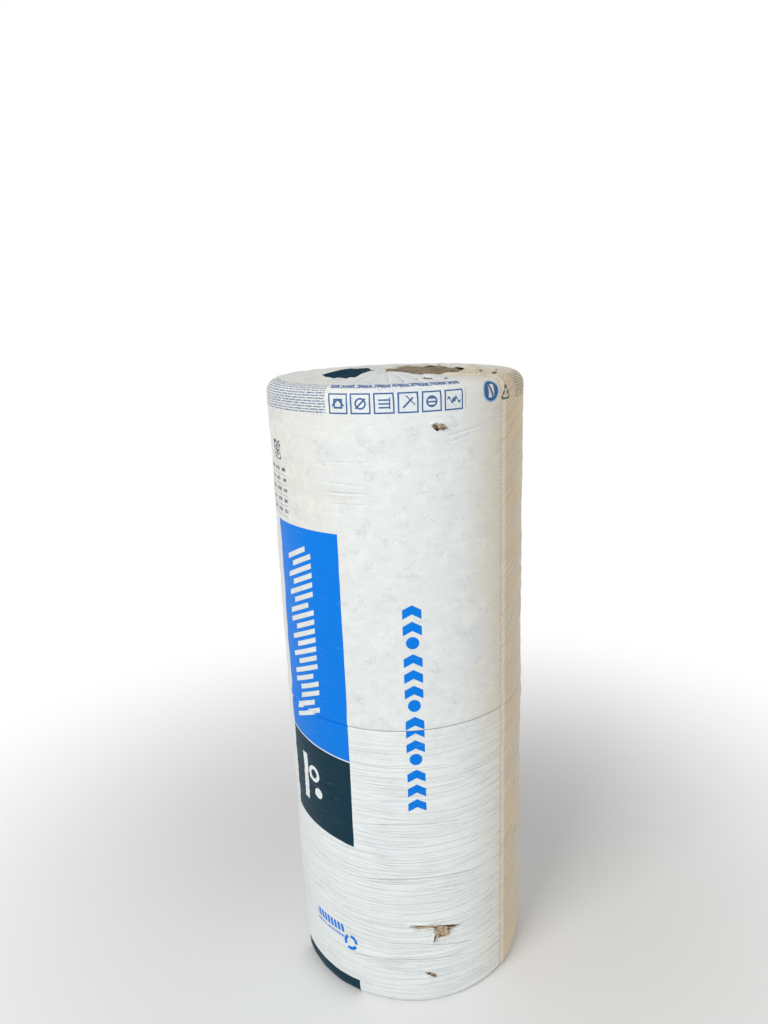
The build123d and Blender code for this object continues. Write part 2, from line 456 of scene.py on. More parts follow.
def film_mottling(at, film, blotches, crests, troughs):
    """The film's colour: warm where the wool shows through, plus painted warm reflected light at the right
    and beside the seam; clouded, speckled, and creased with painted highlights and painted shade.
    """
    finish, across, up, lower = at.finish, at.across, at.up, at.lower
    clouds = finish.noise(at.flat, scale=0.009, detail=3.0, roughness=0.5)
    curls = finish.noise(at.flat, scale=0.20, detail=2.0, roughness=0.5, distortion=2.2)
    flecks = finish.noise(at.flat, scale=0.26, detail=3.0, roughness=0.65)
    speckled = finish.spread(finish.noise(at.flat, scale=0.026, detail=4.0, roughness=0.75), 0.52, 0.64)
    curl_lines = finish.spread(abs(curls - 0.5), 0.034, 0.004) * speckled
    seam_side = finish.spread(at.from_lap, 350.0, 0.0)
    right_side = finish.spread(across, 90.0, 230.0)
    top_left = finish.spread(up, 100.0, 520.0) * finish.spread(across, -20.0, -200.0)
    # Warmth and tan: partly the wool showing through, partly painted warm reflected light on the right side
    # and beside the seam
    warmth_and_reflection = finish.spread(clouds, 0.42, 0.66) * 0.16 + right_side * 0.75 + seam_side + top_left * 0.45
    tan_and_reflection = (seam_side * 0.90) | (finish.spread(across, 90.0, 240.0) * 0.42)
    return layer(
        finish,
        film.film_colour,
        (warmth_and_reflection * (1 - lower * 0.60), film.warm_colour),
        (lower * 0.40, (0.93, 0.99, 0.99)),
        (finish.spread(clouds, 0.46, 0.34) * 0.30, (0.69, 0.73, 0.76)),
        (finish.spread(blotches, 0.50, 0.66) * 0.28 * at.upper, (0.66, 0.69, 0.705)),
        (finish.spread(blotches, 0.47, 0.36) * 0.40, (0.89, 0.90, 0.885)),
        (finish.spread(flecks, 0.54, 0.68) * (speckled * 0.55 + 0.13) * at.upper, (0.52, 0.55, 0.57)),
        (finish.spread(flecks, 0.44, 0.32) * (speckled * 0.60 + 0.10), (0.93, 0.93, 0.91)),
        (tan_and_reflection, (0.69, 0.55, 0.345)),
        (curl_lines * (0.62 - lower * 0.35), (0.28, 0.31, 0.33)),
        # Painted highlights on the wrinkle crests and painted shade in their troughs
        (crests * 0.36, (0.93, 0.945, 0.95)),
        (troughs * (0.20 + at.beside_lap * 0.38), (0.42, 0.42, 0.41)),
        # Painted shade in the crease between the two mats
        (finish.spread(abs(up), 8.2, 5.0) * 0.80, (0.16, 0.15, 0.13)),
        # Painted highlight along the weld bead near the lap's edge
        (finish.spread(abs(at.from_lap - 8.0), 9.0, 2.0) * 0.45, (0.90, 0.89, 0.84)),
    )


def band_print(at):
    """Bands at the left: blue over dark teal with a white line between them, and teal at both ends."""
    left, right, foot, head = BANDS
    column, border, half_line = at.columns(left, right), film_row(BAND_BORDER), 1.2
    tilted = at.up - (at.across - film_column(left)) * BAND_TILT
    blue = column * (tilted > border + half_line) * (at.up < film_row(head))
    teal = column * between(tilted, film_row(foot), border - half_line)
    teal_head = at.area(*HEAD_BAND)

    # Slanted pale bars of uneven length on the blue, and a ring, a dot and an upright bar on the teal
    pitch, thickness, slope, left_step, right_step = 17.5, 9.8, 0.45, 17.0, 14.0
    left, right, foot, head = PALE_BARS
    slant = at.up - (at.across - (film_column(left) + film_column(right)) / 2) * slope
    bar = (slant / pitch).math("FLOOR")
    uneven = at.finish.node("ShaderNodeTexWhiteNoise", {"noise_dimensions": "1D"}, {"W": bar})
    bar_left = film_column(left) + (uneven > 0.6) * left_step
    bar_right = film_column(right) - (uneven < 0.3) * right_step
    bars = between(at.across, bar_left, bar_right) * between(slant, film_row(foot), film_row(head))
    blue = blue * (1 - bars * ((slant % pitch) < thickness))
    badge = between(distance(*at.beside(*BADGE_RING)), 9.0, 17.0)
    badge = badge | (distance(*at.beside(*BADGE_DOT)) < 11.0) | at.area(*BADGE_BAR)
    return blue, teal * (1 - badge) | at.area(*FOOT_BAND) | teal_head, teal_head


def arrow_print(at):
    """A column of arrowheads and discs on the front, and one the other way up on the back."""
    pitch, places, half_width, slope, arrow_share = 30.0, 14.0, 16.5, 0.55, 0.56
    disc_low, disc_middle, disc_radius = 6.0, 7.5, 11.49
    front, back = 14.5, film_column(-172)
    behind = at.across < film_column(-100)
    off_line = abs(at.across - front + behind * (front - back))
    run = (at.up - behind * film_row(1060)) * (1 - behind * 2) - (1 - behind) * film_row(446)
    step, slot = (run + off_line * slope) / pitch, (run + disc_low) / pitch
    step_number, slot_number = step.math("FLOOR"), slot.math("FLOOR")
    disc_up = run - slot_number * pitch - disc_middle
    arrows = (off_line < half_width) * ((step % 1.0) < arrow_share) * (1 - ((step_number % 4.0) > 2.5))
    discs = ((slot_number % 4.0) > 2.5) * (distance(off_line, disc_up) < disc_radius)
    return arrows * between(step, 0.0, places) | discs * between(slot, 0.0, places)


def box_print(at):
    """Six boxes with plain signs round the top: the whole boxes, and the lines in them."""
    pitch, side, line, first, last = 38.3, 33.4, 2.5, -113.0, 117.5
    half_side = side / 2
    run = at.across - first
    x, y = (run % pitch) - half_side, at.up - film_row(1180.5)
    boxes = between(at.across, first, last) * (abs(x) < half_side) * (abs(y) < half_side)
    frames = boxes * (1 - (abs(x) < half_side - line) * (abs(y) < half_side - line))
    reach = distance(x, y)
    ring = between(reach, 6.6, 9.4)
    cross = (abs(x - y) < 2.1) * (reach < 11.5)
    lines = ((y + 20.0) % 6.0 < 2.5) * (abs(y) < 9.0) * (abs(x) < 9.0)
    roof = between(y + abs(x), 5.0, 9.0) * (abs(x) < 10.5)
    block = between(abs(x) | abs(y), 5.0, 8.0)
    wave = (abs(y - (x * 0.5).math("SINE") * 4.0) < 1.9) * (abs(x) < 12.0)
    signs = (
        roof | block,
        ring | cross,
        lines | between(x, 8.0, 10.0) * (abs(y) < 9.0),
        cross | between(x + y, 6.0, 8.5) * (reach < 12.0),
        ring | lines * (reach < 7.5),
        wave | (reach < 3.4),
    )
    number = run / pitch
    for k, sign in enumerate(signs):
        frames = frames | boxes * sign * between(number, float(k), k + 1.0)
    return boxes, frames


def scribbled_rows(at, scribble, dense):
    """Rows of scribble round the top: a block at the left, a line over the boxes, a block at the right."""
    row = at.up / 4.5
    rows = (row % 1.0 < 0.54) * (((at.across + row.math("FLOOR") * 11.0) % 19.0) > 1.8)
    left = at.area(*LEFT_ROWS) * rows * (scribble * 0.60 + dense * 0.36)
    right = between(at.from_lap, 48.0, 140.0) * at.rows(1167, 1216) * rows * (scribble * 0.5 + dense * 0.4)
    words = ((at.across + (at.up * 0.13).math("FLOOR") * 9.0) % 31.0) > 3.4
    strokes = ((at.across + at.up * 0.5) % 4.4 < 1.8) | scribble
    line = between(at.across, -113.0, 112.0) * at.rows(1207, 1218) * strokes * words
    return left, line, right


def button_print(at):
    """A disc with a pale sheet on it at the right of the boxes, and the soft halo round it."""
    x, y = at.beside(*BUTTON)
    radius, half_width, half_height, reach = 16.5, 6.5, 11.0, distance(x, y)
    sheet = (abs(x) < half_width) * (abs(y) < half_height)
    button = (reach < radius) * (1 - sheet) | sheet * (abs(x + y * 0.4) < 2.2)
    return button, between(reach, radius - 3.5, radius + 2.5)


def wedge_print(at):
    """A broken triangle beside the lap."""
    wedge = abs(at.from_lap - 13.0) * 1.9 + (at.up - film_row(1184))
    sides = between(wedge, 6.0, 14.0) * (at.up > film_row(1173)) * (at.up % 9.0 < 7.2)
    return sides | between(at.from_lap, 2.0, 24.0) * at.rows(1170, 1173) * (wedge < 14.0)


def table_print(at, scribble):
    """A table with blank marks and a field of random squares, at the left."""
    row_pitch, cell_pitch, table = 19.0, 31.0, at.area(*TABLE)
    across, row = at.across, (at.up - film_row(TABLE[2])) % row_pitch
    place = at.finish.vector((across / 3.3).math("FLOOR"), (at.up / 3.0).math("FLOOR"))
    squares = at.finish.node("ShaderNodeTexWhiteNoise", {"noise_dimensions": "2D"}, {"Vector": place})
    field = at.area(*SQUARES) * (squares > 0.42)
    rules = table * ((row < 1.0) | (((across - film_column(-64)) % cell_pitch) < 1.0))
    cells = table * between(row, 7.0, 13.5) * (scribble | (squares > 0.8)) * ((across % cell_pitch) < 21.0)
    return field | rules * 0.7 | cells


def foot_print(at, scribble):
    """A broken ring and two rows of dashes near the foot."""
    x, y = at.beside(*FOOT_RING)
    ring_turn = y.math("ARCTAN2", x) / (2 * pi) * 3.0
    ring = between(distance(x, y), 9.5, 16.0) * (ring_turn % 1.0 < 0.78)
    dashes = at.area(*FOOT_DASHES) * (((at.across + at.up * 0.2) % 9.5) < 6.6)
    return ring | dashes | at.area(*FOOT_SCRIBBLE) * scribble


def film_finish(film):
    """Milky film, mottled by the wool behind it and printed in blue and dark teal."""
    finish = Finish(bpy.data.materials.new("printed_film"))
    at = FilmPlace(finish, film)
    crests, troughs = film_creases(at)
    fine = finish.noise(finish.vector(at.across * 0.017, at.level * 0.34), detail=4.0, distortion=0.5)
    stretched = finish.vector(at.across * 0.8, at.up)
    blotches = finish.noise(stretched, scale=0.040, detail=5.0, roughness=0.6, distortion=0.8)

    scribble = abs(finish.noise(finish.vector(at.across * 0.42, at.up * 0.30), detail=1.0) - 0.5)
    dense = finish.spread(scribble, 0.19, 0.13)
    scribble = finish.spread(scribble, 0.11, 0.06)
    blue, teal, teal_head = band_print(at)
    boxes, box_lines = box_print(at)
    button, halo = button_print(at)
    rows_left, rows_line, rows_right = scribbled_rows(at, scribble, dense)
    blue = blue | arrow_print(at) | foot_print(at, scribble)
    worn = 1 - finish.spread(fine, 0.36, 0.28) * 0.10
    colour = layer(
        finish,
        film_mottling(at, film, blotches, crests, troughs),
        (boxes * 0.10, (0.45, 0.72, 0.95)),
        (blue * worn, film.blue_colour),
        (teal * worn, film.teal_colour),
        (halo * 0.8, (0.16, 0.36, 0.62)),
        ((box_lines | rows_line | button | rows_left) * 0.94, (0.008, 0.09, 0.27)),
        ((table_print(at, scribble) | rows_right * 0.8 | wedge_print(at)) * 0.93, (0.015, 0.025, 0.045)),
    )

    # Relief that is too fine for the mesh: creases, and the grain of the wool behind the film
    grain = finish.noise(at.flat, scale=0.20, detail=4.0, roughness=0.6) * at.upper
    relief = crests * 0.7 - troughs * 0.35 + fine * (0.34 - at.lower * 0.22)
    relief = relief + blotches * (0.45 - at.lower * 0.20) + grain * 0.16
    relief = relief * (1 - (blue | teal) * 0.75)
    roughness = 0.34 + blotches * 0.20 + teal_head * 0.50
    return finish.end(finish.principled(colour, roughness, relief, 0.0010, IOR=1.48, Specular_IOR_Level=0.12))


def wool_finish(name, share, tone, relief_depth):
    """Brown glass wool with a share of one tone, which makes its painted lit and painted shaded copies:
    fibres along the winding, paler tufts and dark hollows of painted shade.
    """
    wool = bpy.context.scene.insulation_wool
    finish = Finish(bpy.data.materials.new(name))
    along, side = finish.parts(finish.node("ShaderNodeUVMap", {"uv_map": "flat_mat"}))
    place = finish.node("ShaderNodeTexCoord", {}, {}, output=3)
    stretched = finish.vector(along * 160.0, side * 1500.0)
    fibres = finish.noise(stretched, detail=6.0, roughness=0.7, distortion=1.2)
    tufts = finish.noise(place, scale=95.0, detail=6.0, roughness=0.72, distortion=0.8)
    fuzz = finish.noise(place, scale=620.0, detail=5.0, roughness=0.8)
    strands = finish.noise(place, scale=210.0, detail=3.0, roughness=0.6, distortion=3.5)
    strands = finish.spread(abs(strands - 0.5), 0.030, 0.0)
    drift = finish.noise(place, scale=16.0, detail=4.0)
    colour = layer(
        finish,
        wool.wool_colour,
        (finish.spread(tufts * 0.5 + fibres * 0.5, 0.42, 0.60), wool.straw_colour),
        (finish.spread(drift, 0.42, 0.62) * 0.45, wool.wool_colour),
        (finish.spread(tufts * 0.5 + fuzz * 0.5, 0.47, 0.38) * 0.90, wool.shade_colour),
        (strands * 0.60, (0.76, 0.68, 0.54)),
        (share, tone),
    )
    relief = tufts * 0.8 + fibres * 0.7 + fuzz * 0.45 + strands * 0.35
    return finish.end(finish.principled(colour, 0.94, relief, relief_depth, Specular_IOR_Level=0.15))


def floor_finish(stage):
    """Plain pale floor that keeps the shadow and fades to the white behind it."""
    finish = Finish(bpy.data.materials.new("floor_paint"))
    place = finish.node("ShaderNodeTexCoord", {}, {}, output=3)
    away = finish.spread(distance(*finish.parts(place)), stage.floor_near, stage.floor_far)
    paint = finish.principled((*stage.floor_colour, 1), 0.8, finish.noise(place, scale=3.0), 0.0002)
    white = finish.node("ShaderNodeEmission", {}, {"Color": (1, 1, 1, 1), "Strength": 1.0})
    return finish.end(finish.node("ShaderNodeMixShader", {}, {0: away * finish.seen(), 1: paint, 2: white}))


def sky_finish(stage):
    """Even light from all round, which the camera sees as white."""
    finish = Finish(bpy.data.worlds.new("soft_sky"))
    light, white = (
        finish.node("ShaderNodeBackground", {}, {"Color": (1, 1, 1, 1), "Strength": level})
        for level in (stage.sky_level, 1.0)
    )
    mixed = finish.node("ShaderNodeMixShader", {}, {0: finish.seen(), 1: light, 2: white})
    return finish.end(mixed, "ShaderNodeOutputWorld")


def deselect():
    bpy.ops.object.select_all(action="DESELECT")


def read(parts, key, width, kind=float):
    """One value of each vertex, edge, face or loop, as an array with a row for each."""
    values = np.empty(len(parts) * width, kind)
    parts.foreach_get(key, values)
    return values.reshape(-1, width)


def corners(piece):
    """The places of a piece's vertices."""
    return read(piece.data.vertices, "co", 3)


def set_corners(piece, places):
    piece.data.vertices.foreach_set("co", np.ascontiguousarray(places).ravel())
    piece.data.update()


def face_centres(piece):
    return read(piece.data.polygons, "center", 3)


def edge_ends(piece):
    """The places of the two ends of each edge."""
    ends, places = read(piece.data.edges, "vertices", 2, int), corners(piece)
    return places[ends[:, 0]], places[ends[:, 1]]


def select(piece, kind, chosen):
    """Selects the chosen edges or faces of a piece, and nothing else."""
    bpy.context.view_layer.objects.active = piece
    bpy.ops.object.mode_set(mode="EDIT")
    bpy.ops.mesh.select_mode(type=kind)
    bpy.ops.mesh.select_all(action="DESELECT")
    bpy.ops.object.mode_set(mode="OBJECT")
    parts = piece.data.edges if kind == "EDGE" else piece.data.polygons
    parts.foreach_set("select", chosen)
    piece.data.update()


def subdivide(piece, kind, chosen, cuts):
    """Cuts the chosen edges or faces of a piece, and nothing else."""
    select(piece, kind, chosen)
    bpy.ops.object.mode_set(mode="EDIT")
    bpy.ops.mesh.subdivide(number_cuts=cuts)
    bpy.ops.object.mode_set(mode="OBJECT")


def join(pieces, name):
    """Joins pieces into the first of them, under a new name."""
    deselect()
    for piece in pieces:
        piece.select_set(True)
    bpy.context.view_layer.objects.active = pieces[0]
    bpy.ops.object.join()
    piece = bpy.context.active_object
    piece.name = piece.data.name = name
    return piece


def soft_step(value, low, high):
    share = np.clip((value - low) / (high - low), 0, 1)
    return share * share * (3 - 2 * share)


def ripple(seed, turns, height, cells, spacing):
    """Smooth noise that joins up after one turn: cells in a turn, and one every so many metres of height."""
    x, y = turns * cells, (height - height.min()) / spacing
    left, low = np.floor(x).astype(int), np.floor(y).astype(int)
    slopes = np.random.default_rng(seed).uniform(0, 2 * pi, (cells, low.max() + 2))
    x, y = x - left, y - low

    def corner(dx, dy):
        slope = slopes[(left + dx) % cells, low + dy]
        return np.cos(slope) * (x - dx) + np.sin(slope) * (y - dy)

    ease_x, ease_y = (t * t * t * (t * (t * 6 - 15) + 10) for t in (x, y))
    under = corner(0, 0) * (1 - ease_x) + corner(1, 0) * ease_x
    over = corner(0, 1) * (1 - ease_x) + corner(1, 1) * ease_x
    return under * (1 - ease_y) + over * ease_y


def ripples(turns, height, *parts):
    """Sum of ripples: each has a seed, a strength, cells in a turn and metres of height for each cell."""
    return sum(strength * ripple(seed, turns, height, *size) for seed, strength, *size in parts)


def ridges(value, width):
    """Narrow ridges where a smooth ripple crosses zero."""
    return np.clip(1 - np.abs(value) / width, 0, 1) ** 2


def hump(value, middle, width):
    """A smooth rise to 1 round one value."""
    return np.exp(-(((value - middle) / width) ** 2))


def film_width(film):
    """The film's cut width: once round the roll and the lap."""
    return 2 * pi * SLEEVE_RADIUS + film.lap_width


def shoulder_radius(film, facing):
    return film.shoulder_radius if facing > 0 else film.foot_radius


def side_rise(film, facing):
    """How far the straight side runs from the joint, up to the shoulder or down to the foot."""
    return END_RISE + (film.shoulder_rise if facing > 0 else 0) - shoulder_radius(film, facing)


def film_line(film, facing):
    """Radius and height above the joint of points along the film, from the tuck to the mouth of one end."""
    lip, shoulder = film.lip_radius, shoulder_radius(film, facing)
    bends = (
        (lip, CREASE_HALF + lip, np.linspace(-90, 0, 12)),
        (shoulder, side_rise(film, facing), np.linspace(0, 80, 40)),
    )
    collar = TOP_COLLAR if facing > 0 else FOOT_COLLAR
    points = [(SLEEVE_RADIUS - film.tuck_depth, CREASE_HALF)]
    for radius, rise, bend in bends:
        out, upward = radius * np.cos(np.radians(bend)), radius * np.sin(np.radians(bend))
        points += list(zip(SLEEVE_RADIUS - radius + out, rise + upward))
    points += [(film.mouth_radius + out, END_RISE + rise * film.ridge_height) for out, rise in collar]
    points = np.array(points)
    steps = np.concatenate([[0], np.cumsum(np.linalg.norm(np.diff(points, axis=0), axis=1))])
    even = np.arange(0, steps[-1], 0.5 * MM)
    line = np.stack([np.interp(even, steps, points[:, i]) for i in range(2)], axis=1)

    # The end of the shoulder and the collar are smoothed
    start, blur = np.searchsorted(even, steps[-len(collar) - 3]), 8
    smooth = line.copy()
    for reach in range(1, blur + 1):
        smooth[reach:-reach] += line[: -2 * reach] + line[2 * reach :]
    line[start:-blur] = smooth[start:-blur] / (2 * blur + 1)
    return even, line


def film_half(film):
    """The film's cut height, from the tuck to the mouth of one end."""
    return max(film_line(film, facing)[0][-1] for facing in (1, -1))


def film_hidden():
    """How much film each half of the tuck takes in."""
    film = bpy.context.scene.insulation_film
    return film.tuck_depth + (pi / 2 - 2) * film.lip_radius - CREASE_HALF


def tear_outlines(film):
    """Each tear's outline on the flat film."""
    for angle, height, outline in TEARS:
        x, y = np.array(outline).T * MM
        turn = 2 * pi - film.lap_angle + radians(angle) + np.arcsin(x / SLEEVE_RADIUS)
        yield np.stack([turn * SLEEVE_RADIUS, film_half(film) + film_row(height) * MM + y], axis=1)


def inside(outline, places):
    """Which places lie inside an outline."""
    found = np.zeros(len(places), bool)
    for (x0, y0), (x1, y1) in zip(outline, np.roll(outline, -1, axis=0)):
        crosses = (y0 > places[:, 1]) != (y1 > places[:, 1])
        with np.errstate(divide="ignore", invalid="ignore"):
            found ^= crosses & (places[:, 0] < (x1 - x0) * (places[:, 1] - y0) / (y1 - y0) + x0)
    return found


def nearest_on(outline, places):
    """The nearest point of an outline to each place."""
    best, found = np.full(len(places), np.inf), places.copy()
    for start, end in zip(outline, np.roll(outline, -1, axis=0)):
        run = end - start
        share = np.clip(((places - start) @ run) / (run @ run), 0, 1)
        points = start + share[:, None] * run
        gaps = np.linalg.norm(places - points, axis=1)
        closer = gaps < best
        best[closer], found[closer] = gaps[closer], points[closer]
    return found, best


def tear_film(piece, outline):
    """Cuts one tear out of the flat film and draws the hole's rim onto the outline."""
    low, high = outline.min(axis=0) - 0.010, outline.max(axis=0) + 0.010

    def close_by(places):
        return ((places[:, :2] > low) & (places[:, :2] < high)).all(axis=1)

    subdivide(piece, "FACE", close_by(face_centres(piece)), 3)
    select(piece, "FACE", inside(outline, face_centres(piece)[:, :2]))
    bpy.ops.object.mode_set(mode="EDIT")
    bpy.ops.mesh.delete(type="FACE")
    bpy.ops.mesh.select_mode(type="VERT")
    bpy.ops.mesh.select_all(action="DESELECT")
    bpy.ops.mesh.select_non_manifold(extend=False, use_wire=False, use_boundary=True, use_multi_face=False)
    bpy.ops.object.mode_set(mode="OBJECT")
    places = corners(piece)
    rim = read(piece.data.vertices, "select", 1, bool)[:, 0] & close_by(places)
    places[rim, :2] = nearest_on(outline, places[rim, :2])[0]
    set_corners(piece, places)


def round_mouth(table, angle):
    """Reads a table of values that lie every 30 degrees round the roll, with its corners smoothed."""
    turns = np.arange(len(table)) / len(table) * 2 * pi
    reads = [np.interp(angle + aside, turns, table, period=2 * pi) for aside in np.linspace(-0.3, 0.3, 9)]
    return np.mean(reads, axis=0)


class FilmSheet:
    """The film's vertices: places on the flat sheet and round the roll, with a value for each vertex."""

    def __init__(self, film, flat):
        self.film, self.flat, self.half = film, flat, film_half(film)
        self.from_lap, self.up = flat[:, 0], flat[:, 1] - self.half
        self.angle = film.lap_angle + self.from_lap / SLEEVE_RADIUS
        self.turns = self.angle / (2 * pi)
        self.reach, self.facing = np.abs(self.up), np.where(self.up < 0, -1.0, 1.0)
        self.top = self.facing > 0
        self.side_end = np.where(self.top, side_rise(film, 1), side_rise(film, -1)) + film_hidden()
        self.follow_line()
        self.open_mouth()

    def follow_line(self):
        """Walks the film's line, with its outward direction; the free edge at the foot is ragged."""
        start, half = self.half - 0.10, self.half
        ragged = ripples(self.turns, self.facing * 0.3, (11, 0.55, 17, 0.25), (12, 0.35, 41, 0.25))
        ragged = np.clip(0.62 + ragged, 0.15, 1.0)
        self.walk, self.radius, self.rise, out_r, out_h = (np.empty(len(self.flat)) for _ in range(5))
        for sign in (1, -1):
            mine = self.facing == sign
            even, line = film_line(self.film, sign)
            last, edge = even[-1], even[-1] - 0.035
            along = self.reach[mine]
            along = along + np.maximum(along - start, 0) * ((last - start) / (half - start) - 1)
            if sign < 0:
                along = np.where(along > edge, edge + (along - edge) * ragged[mine], along)
            slope = np.gradient(line, even, axis=0)
            self.walk[mine] = along
            self.radius[mine], self.rise[mine] = (np.interp(along, even, line[:, i]) for i in range(2))
            out_r[mine] = np.interp(along, even, slope[:, 1])
            out_h[mine] = np.interp(along, even, -slope[:, 0])
        size = np.hypot(out_r, out_h)
        self.out_r, self.out_h = out_r / size, out_h / size

    def open_mouth(self):
        """Moves the top mouth off the middle and gives it a torn edge and an uneven ridge."""
        collar_start = self.film.mouth_radius + COLLAR_REACH
        inward = collar_start - self.radius
        on_collar = self.top & (inward > 0)
        torn = ripples(self.turns, self.up * 0, (12, 0.007, 41, 1.0), (13, 0.005, 97, 1.0))
        stretch = collar_start - round_mouth(MOUTH_EDGE, self.angle) - torn
        stretch = stretch / (COLLAR_REACH - TOP_COLLAR[-1][0])
        ridge = 1 + (round_mouth(MOUTH_RIDGE, self.angle) - 1) * soft_step(inward, 0, 0.030)
        self.rise = np.where(on_collar, END_RISE + (self.rise - END_RISE) * ridge, self.rise)
        self.radius = np.where(on_collar, collar_start - inward * stretch, self.radius)

    def side_wrinkles(self):
        """Wrinkles round the side: they run aslant beside the lap, and are strong there and low down."""
        up, angle, turns, beyond_lap = self.up, self.angle, self.turns, self.from_lap - self.film.lap_width
        slope, right_side, right_spread, ridge_height, ridge_width = 0.45, 80, 28, 2.2 * MM, 3.5 * MM
        level = up + 0.010 * np.sin(angle + 0.4) + 0.004 * np.sin(3 * angle)
        level = level - slope * np.clip(beyond_lap, 0, 0.18) * (1 - soft_step(self.from_lap, 0.20, 0.40))
        on_side = 1 - soft_step(self.reach, self.side_end - 0.02, self.side_end + 0.05)
        on_side = soft_step(self.reach, 0.006, 0.030) * on_side
        lower = soft_step(-up, -0.05, 0.25)
        strong = 0.30 + 0.50 * lower + 1.3 * hump(np.degrees(angle) % 360, right_side, right_spread)
        patchy = np.clip(0.6 + 1.6 * ripple(21, turns, up, 7, 0.13), 0.1, 1.4)
        fine = ridges(ripple(22, turns, level, 8, 0.0155), 0.22)
        fine = fine + 0.7 * ridges(ripple(23, turns, level, 13, 0.0115), 0.2)
        long = ridges(ripple(24, turns, level, 4, 0.055), 0.035) * (0.4 + 0.6 * lower)
        bulge = ripples(turns, up, (25, 0.0018, 7, 0.11), (26, 0.0013, 15, 0.05))
        off = on_side * (self.film.wrinkle_height * (strong * patchy * fine * 0.8 + long * 1.2) + bulge)
        for height, middle, spread in RIDGES:
            line = film_row(height) * MM + 0.004 * np.sin(angle * 2 + middle)
            span = hump((np.degrees(angle) - middle + 180) % 360, 180, spread)
            off += ridge_height * span * hump(up, line, ridge_width)
        return off

    def lap(self):
        """The lap's outer layer lies on the inner one and is welded down along its edge, with a bead."""
        from_lap, lap_width, lift = self.from_lap, self.film.lap_width, self.film.lap_lift
        fade, weld, weld_gap = 30 * MM, 8 * MM, 0.15 * MM
        bead_height, bead_place, bead_width = 1 * MM, 9 * MM, 6 * MM
        off = lift * (1 - soft_step(from_lap, lap_width, lap_width + fade))
        off -= (lift - weld_gap) * (1 - soft_step(from_lap, 0, weld))
        return off + bead_height * hump(from_lap, bead_place, bead_width)

    def pleats(self):
        """Pleats over the ends, laid over one way: how far they stand off, and are shifted round."""
        angle, walk, turns, half = self.angle, self.walk, self.turns, self.half
        lead, top_lift, foot_lift = 6 * MM, 5.2 * MM, 3.4 * MM
        gather = np.clip((walk - self.side_end + lead) / (half - self.side_end), 0, 1)
        drift = 0.9 * np.sin(angle + 1.0) + 0.5 * np.sin(2 * angle + 0.3) + 0.3 * np.sin(5 * angle)
        wave = 2 * pi * (self.film.pleats * turns + drift + np.where(self.top, 0.0, 0.37))
        uneven = np.clip(0.85 + 1.1 * ripple(41, turns, self.facing * 0.3, 19, 0.25), 0.25, 1.5)
        laid = self.film.pleat_fold * gather**1.15 * uneven
        lift = np.where(self.top, top_lift * gather**1.3, foot_lift * gather**0.8) * uneven
        crest = lift * (0.5 + 0.5 * np.cos(wave + 0.9))
        crumple = gather * ripples(turns, walk, (42, 0.0022, 60, 0.018), (43, 0.00132, 110, 0.010))
        off = np.where(self.top, crest + crumple, -crest + np.minimum(crumple, 0))
        return off, laid * (np.sin(wave) + 0.25 * np.sin(2 * wave + 0.8))

    def flutter(self):
        """The free edge of the top mouth lifts here and there."""
        share = soft_step(self.walk, self.half - 0.045, self.half - 0.005) * np.where(self.top, 0.008, 0.0)
        return share * np.clip(ripple(44, self.turns, self.facing * 0.3, 13, 0.25) + 0.25, -0.1, 1)

    def curls(self):
        """Torn edges curl outwards, most along their upper side."""
        curl_width, upper_curl, lower_curl = 8 * MM, 2.8 * MM, 1.2 * MM
        off = np.zeros(len(self.flat))
        for outline in tear_outlines(self.film):
            near = (np.abs(self.flat - outline.mean(axis=0)) < 0.11).all(axis=1)
            point, gap = nearest_on(outline, self.flat[near])
            above = self.flat[near][:, 1] > point[:, 1] + 0.0001
            off[near] += np.clip(1 - gap / curl_width, 0, 1) ** 2 * np.where(above, upper_curl, lower_curl)
        return off

    def wrapped(self):
        """Where each vertex lies on the roll."""
        off, shift = self.pleats()
        off = off + self.side_wrinkles() + self.lap() + self.curls()

        # The crease wanders a little, and the upper mat bulges over it
        upper_lip, lower_lip, wander_height = 1.4 * MM, 0.4 * MM, 2.2 * MM
        off += np.where(self.up > 0, upper_lip, lower_lip) * hump(self.reach, 0.016, 0.012)
        wander = wander_height * ripple(31, self.turns, self.up * 0, 9, 1.0) * hump(self.reach, 0, 0.05)
        turn = self.angle + shift / np.maximum(self.radius, 0.05)
        radius = self.radius + off * self.out_r
        rise = self.rise + off * self.out_h + self.flutter()
        height = JOINT_HEIGHT + self.facing * rise + wander

        # On the floor the lap's inner layer lies above its outer one
        once_round = film_width(self.film) - self.film.lap_width
        lowest = FLOOR_GAP + 0.0005 * soft_step(self.from_lap, once_round - 0.030, once_round)
        return np.stack([radius * np.sin(turn), -radius * np.cos(turn), np.maximum(height, lowest)], axis=1)


def straight_edges(piece, axis):
    """Which edges of the flat film keep their place on an axis, and the height of each edge's middle."""
    start, stop = edge_ends(piece)
    return np.abs(start[:, axis] - stop[:, axis]) < 1e-6, (start[:, 1] + stop[:, 1]) / 2


